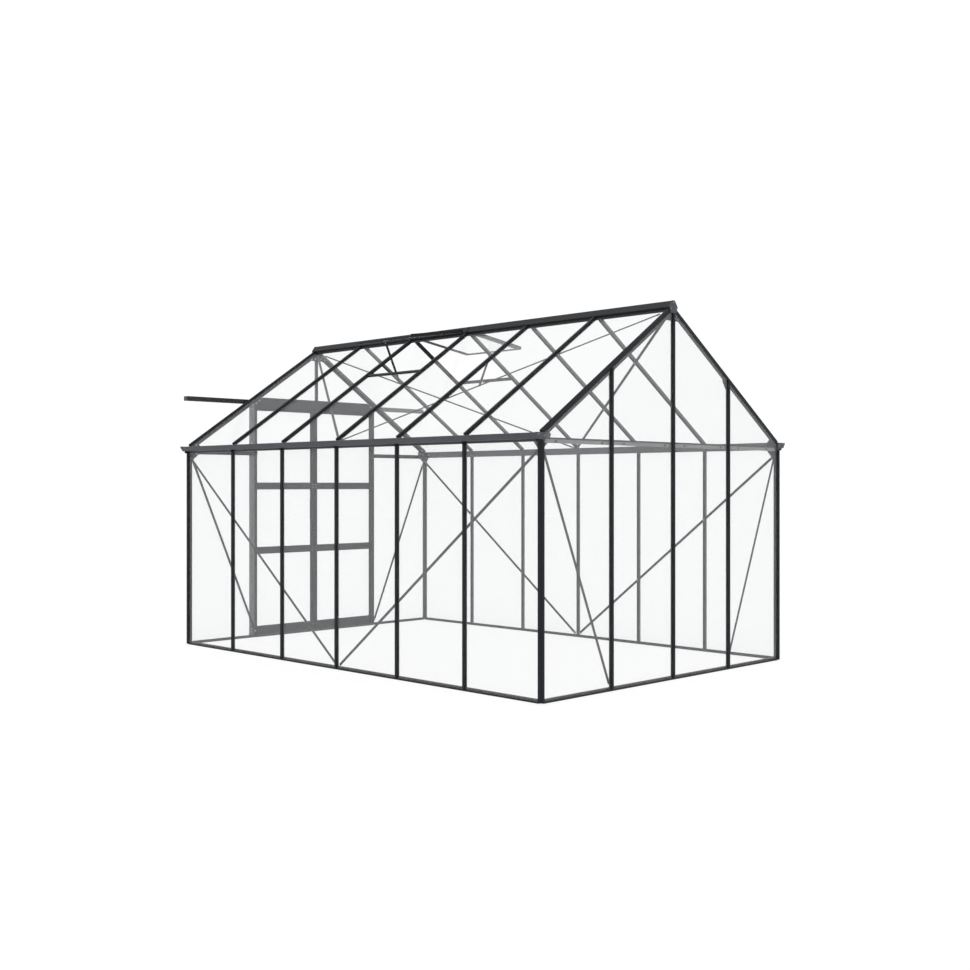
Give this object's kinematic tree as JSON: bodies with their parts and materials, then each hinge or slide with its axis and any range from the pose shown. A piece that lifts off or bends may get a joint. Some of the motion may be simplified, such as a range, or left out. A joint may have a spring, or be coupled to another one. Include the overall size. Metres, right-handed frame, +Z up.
{
  "type": "glass greenhouse",
  "caption": "Pitched-roof glass greenhouse with a dark aluminium glazing-bar frame, eave gutters, opened roof vents at the ridge and a pair of sliding doors in one gable.",
  "frame": {"origin": "on the ground, under the middle of the whole box in plan", "axes": "+Z up, ridge along Y, sliding doors in the gable at -Y, +X to the right of someone facing the doors"},
  "size_m": [2.636, 3.824, 2.428],
  "materials": {
    "frame_paint": "satin anthracite powder coat on aluminium",
    "gutter_paint": "satin grey powder coat on aluminium",
    "clear_glass": "clear polished horticultural glass",
    "zinc_steel": "zinc plated",
    "black_plastic": "fine matt"
  },
  "bodies": {
    "house": {"base_cills_side": "frame_paint", "base_cill_rear": "frame_paint", "base_cill_front": "frame_paint", "door_sill": "frame_paint", "corner_posts": "frame_paint", "side_bars_left": "frame_paint", "side_bars_right": "frame_paint", "rear_bars": "frame_paint", "front_bars": "frame_paint", "gutter_left": "gutter_paint", "gutter_right": "gutter_paint", "gutter_end_caps": "gutter_paint", "ridge_beam": "frame_paint", "ridge_end_caps": "gutter_paint", "roof_bars_left": "frame_paint", "roof_bars_right": "frame_paint", "gable_rafters_front": "frame_paint", "gable_rafters_rear": "frame_paint", "gable_tie_bars": "gutter_paint", "gable_tie_rails": "frame_paint", "door_header": "frame_paint", "door_track": "frame_paint", "wall_braces": "frame_paint", "roof_braces": "frame_paint", "gusset_plates": "frame_paint", "vent_frames": "frame_paint", "vent_glass": "clear_glass", "vent_sills": "frame_paint", "vent_stays": "frame_paint", "side_glass_left": "clear_glass", "side_glass_right": "clear_glass", "rear_glass": "clear_glass", "front_glass": "clear_glass", "roof_glass_left": "clear_glass", "roof_glass_right": "clear_glass"},
    "door_left": {"door_left_stiles": "frame_paint", "door_left_rails": "frame_paint", "door_left_glass": "clear_glass", "door_left_hangers": "zinc_steel", "door_left_grip": "black_plastic"},
    "door_right": {"door_right_stiles": "frame_paint", "door_right_rails": "frame_paint", "door_right_glass": "clear_glass", "door_right_hangers": "zinc_steel", "door_right_grip": "black_plastic"}
  },
  "joints": [
    {"name": "door_left_slide", "type": "slide", "parent": "house", "child": "door_left", "axis": [-1, 0, 0], "range_m": [0, 0.61]},
    {"name": "door_right_slide", "type": "slide", "parent": "house", "child": "door_right", "axis": [1, 0, 0], "range_m": [0, 0.61]}
  ]
}
